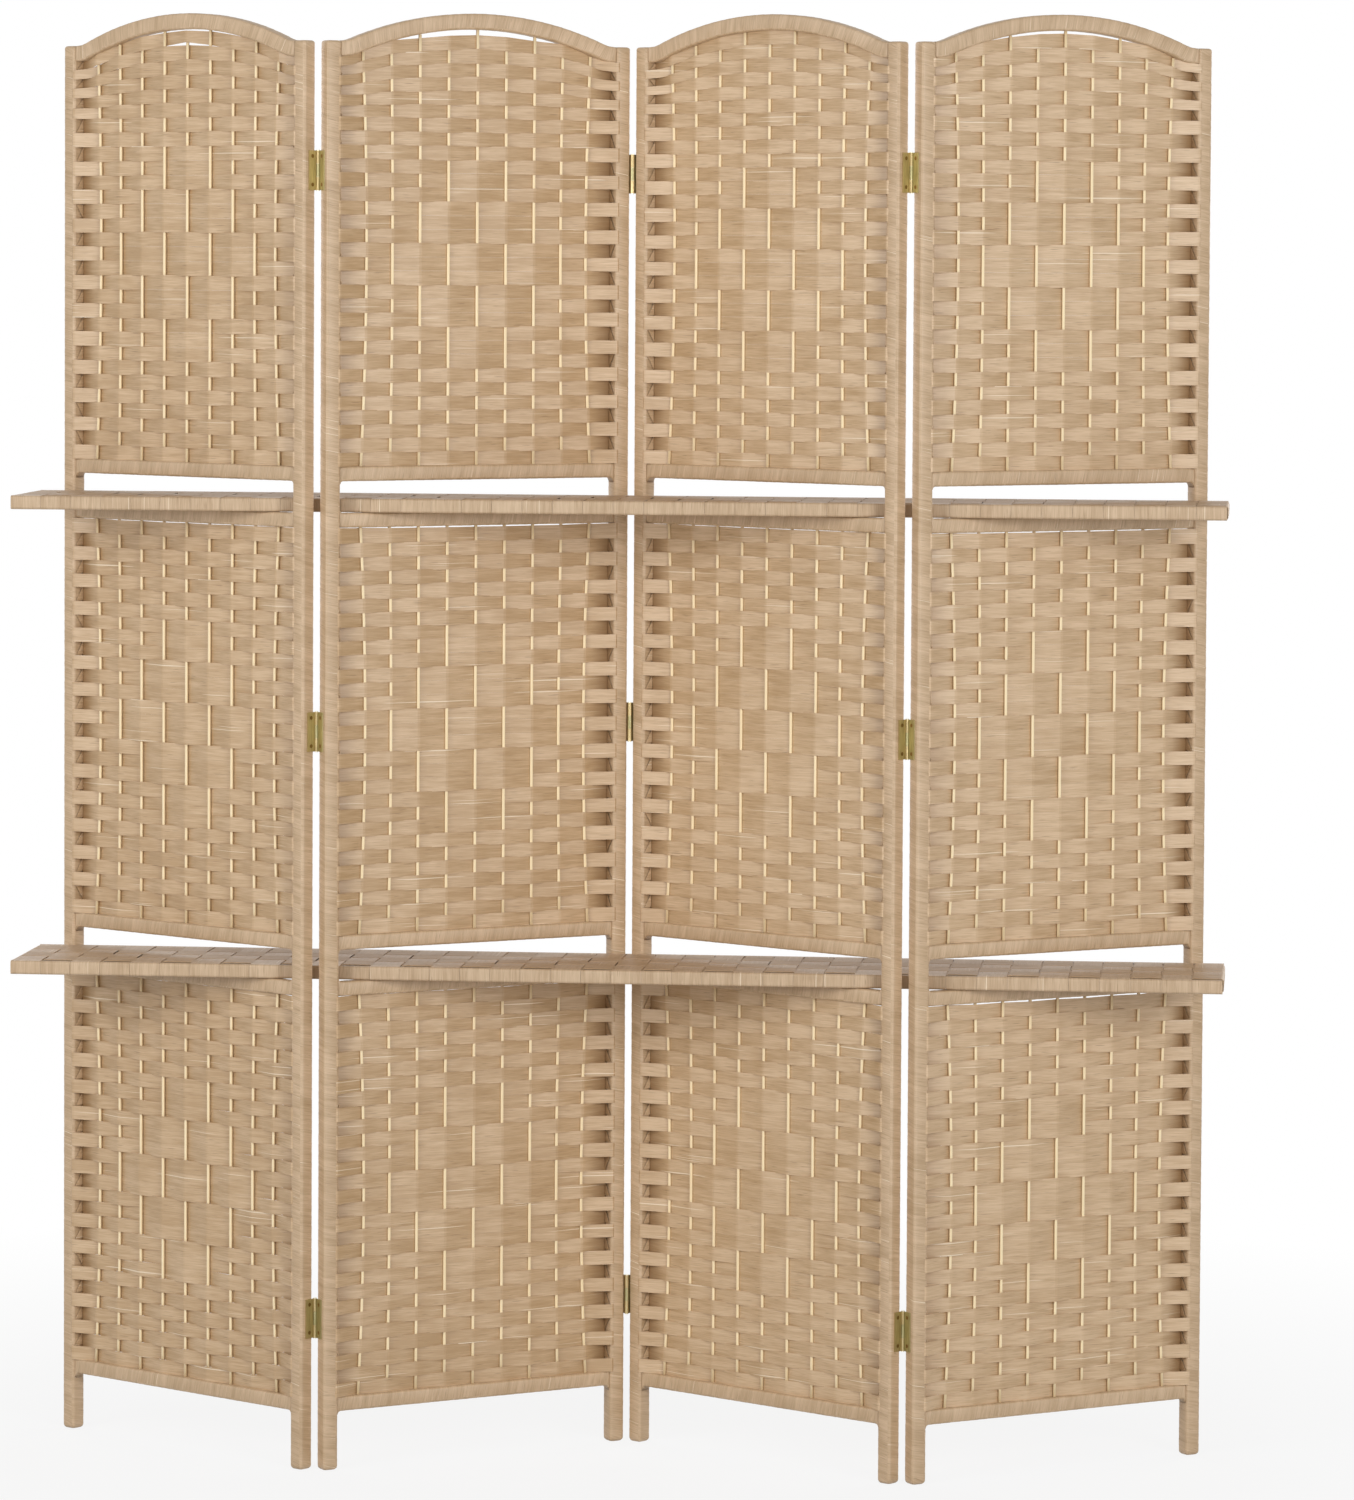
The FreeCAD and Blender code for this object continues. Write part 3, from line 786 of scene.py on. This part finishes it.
# Streaks in the paper: scale along the fibres, scale across them and detail
FINE_STREAKS = (38, 1150, 4)
BROAD_STREAKS = (9, 190, 3)
PATCHES = (24, 34, 1)
FLECKS = (42, 760, 1)
LOOSE_STREAKS = (6, 560, 0)
# How much the ribbon's tone and each kind of streak change the colour
TONE_REACH = 0.13
FINE_REACH = 0.42
BROAD_REACH = 0.28
PATCH_REACH = 0.20
FLECK_SHARE = 0.65
LOOSE_SHARE = 0.8
# The part of a noise's values that is used
STREAK_RANGE = (0.31, 0.69)
FLECK_RANGE = (0.66, 0.76)
LOOSE_RANGE = (0.785, 0.805)
GRAIN_RANGE = (0.3, 0.7)

# Gloss, and bumps as distance and strength
RIBBON_ROUGHNESS = 0.50
WRAP_ROUGHNESS = 0.52
STAKE_ROUGHNESS = 0.48
SCREW_ROUGHNESS = 0.42
FLOOR_ROUGHNESS = 0.9
BRASS_ROUGHNESS = (0.52, 0.38)
PAPER_GLOSS = 0.9
SHELF_GLOSS = 0.4
GLOSS_SPREAD = 0.30
ACROSS_FIBRES = 0.25
RIBBON_BUMP = (0.0004, 0.25)
WRAP_BUMP = (0.0005, 0.4)

# The dark line where turns of wound paper lap, as a share of the turn, and how dark it is
LAP_LINE = 0.06
LAP_SHARE = 0.38

# Scale and detail of the grain in the stakes and of the rubbing on the brass
STAKE_GRAIN = ((900, 900, 14), 2)
BRASS_RUB = ((600, 600, 40), 4)

FLOOR_SIZE = 6
# The floor's fade to white: from and to these distances, from and to these shares of white
FLOOR_FADE = (0.7, 1.9)
FLOOR_WHITE = (0.86, 1.0)


def streaks(nodes, links, vector, along, across, detail):
    """Noise drawn out along the paper's fibres."""
    return stretched_noise(nodes, links, vector, (along, across, 1), detail)


def stretched_noise(nodes, links, vector, scale, detail):
    mapping = nodes.new("ShaderNodeMapping")
    mapping.inputs["Scale"].default_value = scale
    links.new(vector, mapping.inputs["Vector"])
    texture = nodes.new("ShaderNodeTexNoise")
    texture.inputs["Scale"].default_value = 1
    texture.inputs["Detail"].default_value = detail
    links.new(mapping.outputs["Vector"], texture.inputs["Vector"])
    return texture.outputs["Fac"]


def ramp(nodes, links, value, low, high, start=0.0, stop=1.0):
    node = nodes.new("ShaderNodeMapRange")
    node.inputs["From Min"].default_value = low
    node.inputs["From Max"].default_value = high
    node.inputs["To Min"].default_value = start
    node.inputs["To Max"].default_value = stop
    links.new(value, node.inputs["Value"])
    return node.outputs["Result"]


def math_node(nodes, links, operation, first, second):
    node = nodes.new("ShaderNodeMath")
    node.operation = operation
    for place, value in enumerate((first, second)):
        if isinstance(value, (int, float)):
            node.inputs[place].default_value = value
        else:
            links.new(value, node.inputs[place])
    return node.outputs["Value"]


def mix_colours(nodes, links, share, first, second):
    node = nodes.new("ShaderNodeMix")
    node.data_type = "RGBA"
    links.new(share, node.inputs["Factor"])
    for name, value in (("A", first), ("B", second)):
        target = [entry for entry in node.inputs if entry.name == name and entry.type == "RGBA"][0]
        if isinstance(value, tuple):
            target.default_value = value
        else:
            links.new(value, target)
    return [entry for entry in node.outputs if entry.type == "RGBA"][0]


def attribute(nodes, name):
    """A value that a mesh carries at its corners."""
    node = nodes.new("ShaderNodeAttribute")
    node.attribute_name = name
    return node.outputs["Fac"]


def paper_fibre_group():
    """Twisted paper: fine fibres along the ribbon, broad bands and patches of tone, brown flecks and
    loose pale fibres."""
    tree = bpy.data.node_groups.new("paper_fibre", "ShaderNodeTree")
    for name, direction, kind in (
            ("Fibre", "INPUT", "Vector"),
            ("Tone", "INPUT", "Float"),
            ("Light", "INPUT", "Color"),
            ("Dark", "INPUT", "Color"),
            ("Fleck", "INPUT", "Color"),
            ("Loose", "INPUT", "Color"),
            ("Color", "OUTPUT", "Color"),
            ("Height", "OUTPUT", "Float")):
        tree.interface.new_socket(name=name, in_out=direction, socket_type="NodeSocket" + kind)
    nodes, links = tree.nodes, tree.links
    inside = nodes.new("NodeGroupInput")
    outside = nodes.new("NodeGroupOutput")
    vector = inside.outputs["Fibre"]
    fine = streaks(nodes, links, vector, *FINE_STREAKS)
    broad = streaks(nodes, links, vector, *BROAD_STREAKS)
    patches = streaks(nodes, links, vector, *PATCHES)
    flecks = streaks(nodes, links, vector, *FLECKS)
    loose = streaks(nodes, links, vector, *LOOSE_STREAKS)
    share = math_node(nodes, links, "MULTIPLY", inside.outputs["Tone"], TONE_REACH)
    for streak, reach in ((fine, FINE_REACH), (broad, BROAD_REACH), (patches, PATCH_REACH)):
        part = ramp(nodes, links, streak, *STREAK_RANGE, -reach, reach)
        share = math_node(nodes, links, "ADD", share, part)
    share = math_node(nodes, links, "ADD", share, 0.5)
    colour = mix_colours(nodes, links, share, inside.outputs["Dark"], inside.outputs["Light"])
    fleck_share = ramp(nodes, links, flecks, *FLECK_RANGE, 0.0, FLECK_SHARE)
    colour = mix_colours(nodes, links, fleck_share, colour, inside.outputs["Fleck"])
    loose_share = ramp(nodes, links, loose, *LOOSE_RANGE, 0.0, LOOSE_SHARE)
    colour = mix_colours(nodes, links, loose_share, colour, inside.outputs["Loose"])
    links.new(colour, outside.inputs["Color"])
    links.new(fine, outside.inputs["Height"])
    return tree


def new_material(name, roughness=0.5):
    material = bpy.data.materials.new(name)
    material.use_nodes = True
    nodes, links = material.node_tree.nodes, material.node_tree.links
    shader = nodes["Principled BSDF"]
    shader.inputs["Roughness"].default_value = roughness
    return material, nodes, links, shader


def lie_of_fibre(nodes, links, shader, gloss):
    """Gloss spread across the fibres, as on combed straw."""
    tangent = nodes.new("ShaderNodeTangent")
    tangent.direction_type = "UV_MAP"
    tangent.uv_map = "fibre"
    links.new(tangent.outputs["Tangent"], shader.inputs["Tangent"])
    shader.inputs["Anisotropic"].default_value = GLOSS_SPREAD
    shader.inputs["Anisotropic Rotation"].default_value = ACROSS_FIBRES
    shader.inputs["Specular IOR Level"].default_value = gloss


def bump(nodes, links, shader, height, distance, strength):
    node = nodes.new("ShaderNodeBump")
    node.inputs["Distance"].default_value = distance
    node.inputs["Strength"].default_value = strength
    links.new(height, node.inputs["Height"])
    links.new(node.outputs["Normal"], shader.inputs["Normal"])


def fibre_map(nodes):
    """The piece's fibre coordinates."""
    fibre = nodes.new("ShaderNodeUVMap")
    fibre.uv_map = "fibre"
    return fibre.outputs["UV"]


def add_paper(nodes, links, group, fibre, light, dark):
    """Places the paper group in a material, with the paper's own colours."""
    paper = nodes.new("ShaderNodeGroup")
    paper.node_tree = group
    links.new(fibre, paper.inputs["Fibre"])
    for name, colour in (("Light", light), ("Dark", dark), ("Fleck", FLECK_BROWN), ("Loose", LOOSE_FIBRE)):
        paper.inputs[name].default_value = colour
    return paper


def ribbon_paper(name, group, light, dark, gloss):
    """Woven paper: each ribbon or band has its own tone, and painted shade in brown where its mesh carries
    it.
    """
    material, nodes, links, shader = new_material(name, RIBBON_ROUGHNESS)
    paper = add_paper(nodes, links, group, fibre_map(nodes), light, dark)
    links.new(attribute(nodes, "tone"), paper.inputs["Tone"])
    # Painted shade: brown mixed in as far as the mesh asks
    colour = mix_colours(nodes, links, attribute(nodes, "stain"), paper.outputs["Color"], PAINTED_SHADE_BROWN)
    links.new(colour, shader.inputs["Base Color"])
    bump(nodes, links, shader, paper.outputs["Height"], *RIBBON_BUMP)
    lie_of_fibre(nodes, links, shader, gloss)
    return material


def wrap_paper(group):
    """Paper wound round the frame: a tone for each turn and a dark line where the turns lap."""
    material, nodes, links, shader = new_material("wrap_paper", WRAP_ROUGHNESS)
    fibre = fibre_map(nodes)
    paper = add_paper(nodes, links, group, fibre, WRAP_LIGHT, WRAP_DARK)
    split = nodes.new("ShaderNodeSeparateXYZ")
    links.new(fibre, split.inputs["Vector"])
    turns = math_node(nodes, links, "DIVIDE", split.outputs["Y"], WRAP_PITCH)
    turn = math_node(nodes, links, "FLOOR", turns, 0)
    random_turn = nodes.new("ShaderNodeTexWhiteNoise")
    random_turn.noise_dimensions = "1D"
    links.new(turn, random_turn.inputs["W"])
    links.new(ramp(nodes, links, random_turn.outputs["Value"], 0, 1, -1, 1), paper.inputs["Tone"])
    within = math_node(nodes, links, "SUBTRACT", turns, turn)
    lap = ramp(nodes, links, within, 0.0, LAP_LINE, LAP_SHARE, 0.0)
    colour = mix_colours(nodes, links, lap, paper.outputs["Color"], FLECK_BROWN)
    links.new(colour, shader.inputs["Base Color"])
    bump(nodes, links, shader, paper.outputs["Height"], *WRAP_BUMP)
    lie_of_fibre(nodes, links, shader, PAPER_GLOSS)
    return material


def upright_grain(nodes, links, scale, detail):
    """Noise drawn out along the piece's height."""
    place = nodes.new("ShaderNodeTexCoord")
    return stretched_noise(nodes, links, place.outputs["Object"], scale, detail)


def stake_wood():
    """Bare pale sticks with faint upright grain and painted shade on their sides."""
    material, nodes, links, shader = new_material("stake_wood", STAKE_ROUGHNESS)
    grain = ramp(nodes, links, upright_grain(nodes, links, *STAKE_GRAIN), *GRAIN_RANGE)
    colour = mix_colours(nodes, links, grain, STAKE_DARK, STAKE_LIGHT)
    # Painted shade on the sides
    colour = mix_colours(nodes, links, attribute(nodes, "side"), colour, STAKE_SIDE_PAINTED_SHADE)
    links.new(colour, shader.inputs["Base Color"])
    return material


def hinge_brass(name, dull, bright):
    """Plated brass, rubbed along its length and a little dulled."""
    material, nodes, links, shader = new_material(name)
    shader.inputs["Metallic"].default_value = 1.0
    rub = upright_grain(nodes, links, *BRASS_RUB)
    colour = mix_colours(nodes, links, ramp(nodes, links, rub, *GRAIN_RANGE), dull, bright)
    links.new(colour, shader.inputs["Base Color"])
    links.new(ramp(nodes, links, rub, *GRAIN_RANGE, *BRASS_ROUGHNESS), shader.inputs["Roughness"])
    return material


def dark_brass():
    """The screws: dark brown brass."""
    material, _, _, shader = new_material("dark_brass", SCREW_ROUGHNESS)
    shader.inputs["Metallic"].default_value = 1.0
    shader.inputs["Base Color"].default_value = SCREW_BROWN
    return material


# Stage

def make_stage():
    """A plain pale floor that fades to white, softboxes before and behind the screen and a white world."""
    floor = bmesh.new()
    bmesh.ops.create_grid(floor, x_segments=1, y_segments=1, size=FLOOR_SIZE)
    mesh = bpy.data.meshes.new("floor")
    floor.to_mesh(mesh)
    floor.free()
    mesh.materials.append(floor_material())
    plane = bpy.data.objects.new("floor", mesh)
    bpy.context.scene.collection.objects.link(plane)
    for name, degrees, distance, power in SOFTBOXES:
        add_softbox(name, math.radians(degrees), distance, power)
    make_world(AMBIENT)


def seen_directly(nodes, links):
    """1 for rays that show the background: from the camera, in gloss and through glass."""
    path = nodes.new("ShaderNodeLightPath")
    seen = math_node(nodes, links, "MAXIMUM", path.outputs["Is Camera Ray"], path.outputs["Is Glossy Ray"])
    return math_node(nodes, links, "MAXIMUM", seen, path.outputs["Is Transmission Ray"])


def floor_material():
    material, nodes, links, shader = new_material("pale_floor", FLOOR_ROUGHNESS)
    shader.inputs["Base Color"].default_value = FLOOR_GREY
    shader.inputs["Specular IOR Level"].default_value = 0.0
    white = nodes.new("ShaderNodeEmission")
    place = nodes.new("ShaderNodeTexCoord")
    distance = nodes.new("ShaderNodeVectorMath")
    distance.operation = "LENGTH"
    links.new(place.outputs["Object"], distance.inputs[0])
    fade = ramp(nodes, links, distance.outputs["Value"], *FLOOR_FADE, *FLOOR_WHITE)
    share = math_node(nodes, links, "MULTIPLY", fade, seen_directly(nodes, links))
    blend = nodes.new("ShaderNodeMixShader")
    links.new(share, blend.inputs["Fac"])
    links.new(shader.outputs["BSDF"], blend.inputs[1])
    links.new(white.outputs["Emission"], blend.inputs[2])
    links.new(blend.outputs["Shader"], nodes["Material Output"].inputs["Surface"])
    return material


def add_softbox(name, azimuth, distance, power):
    """A wide soft light that faces the screen from the given side of its front."""
    lamp = bpy.data.lights.new(name, "AREA")
    lamp.shape = "SQUARE"
    lamp.size = SOFTBOX_SIZE
    lamp.energy = power
    light = bpy.data.objects.new(name, lamp)
    place = Vector((distance * math.sin(azimuth), -distance * math.cos(azimuth), SOFTBOX_HEIGHT))
    facing = (Vector(SOFTBOX_AIM) - place).to_track_quat("-Z", "Y").to_matrix().to_4x4()
    light.matrix_world = Matrix.Translation(place) @ facing
    bpy.context.scene.collection.objects.link(light)


def make_world(strength):
    world = bpy.data.worlds.new("studio")
    world.use_nodes = True
    bpy.context.scene.world = world
    nodes, links = world.node_tree.nodes, world.node_tree.links
    background = nodes["Background"]
    background.inputs["Color"].default_value = (1, 1, 1, 1)
    level = ramp(nodes, links, seen_directly(nodes, links), 0, 1, strength, 1.0)
    links.new(level, background.inputs["Strength"])


def make_camera():
    lens = bpy.data.cameras.new("camera")
    lens.sensor_width = SENSOR
    lens.lens = FOCAL_PIXELS * SENSOR / FRAME_LONG_SIDE
    lens.shift_y = (CENTRE_ROW - FRAME_LONG_SIDE / 2) / FRAME_LONG_SIDE
    camera = bpy.data.objects.new("camera", lens)
    camera.matrix_world = (Matrix.Translation(CAMERA_PLACE) @ Matrix.Rotation(CAMERA_YAW, 4, "Z")
                           @ Matrix.Rotation(math.pi / 2 + CAMERA_PITCH, 4, "X")
                           @ Matrix.Rotation(CAMERA_ROLL, 4, "Z"))
    bpy.context.scene.collection.objects.link(camera)
    bpy.context.scene.camera = camera


def dress_solids():
    """Hinge leaves, pins and screws keep their solids and take a brass finish."""
    finishes = {
        "_left_leaves": hinge_brass("hinge_brass", *LEFT_LEAF_BRASS),
        "_right_leaves": hinge_brass("hinge_brass_green", *RIGHT_LEAF_BRASS),
        "_pins": hinge_brass("pin_brass", *PIN_BRASS),
        "_hinge_screws": dark_brass(),
    }
    for name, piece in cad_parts.items():
        for ending, finish in finishes.items():
            if name.endswith(ending):
                piece.data.materials.clear()
                piece.data.materials.append(finish)


def main():
    bpy.context.scene.view_settings.view_transform = "Standard"
    fibres = paper_fibre_group()
    wrap, wood = wrap_paper(fibres), stake_wood()
    ribbon = ribbon_paper("ribbon_paper", fibres, RIBBON_LIGHT, RIBBON_DARK, PAPER_GLOSS)
    shelf_band = ribbon_paper("shelf_band_paper", fibres, SHELF_LIGHT, SHELF_DARK, SHELF_GLOSS)
    for number in PANELS:
        panel = Panel(number)
        sections = sections_of(panel)
        for side in (-1, 1):
            make_stile(panel, side, wrap)
        for rail in RAIL_CORNERS:
            make_rail(panel, rail, wrap)
        make_arch(panel, wrap)
        make_stakes(panel, sections, wood)
        make_ribbons(panel, sections, ribbon)
    for name in SHELVES:
        shelf = Shelf(name)
        make_shelf(shelf, shelf_band)
        make_shelf_frame(shelf, wrap)
    dress_solids()
    make_stage()
    make_camera()


main()
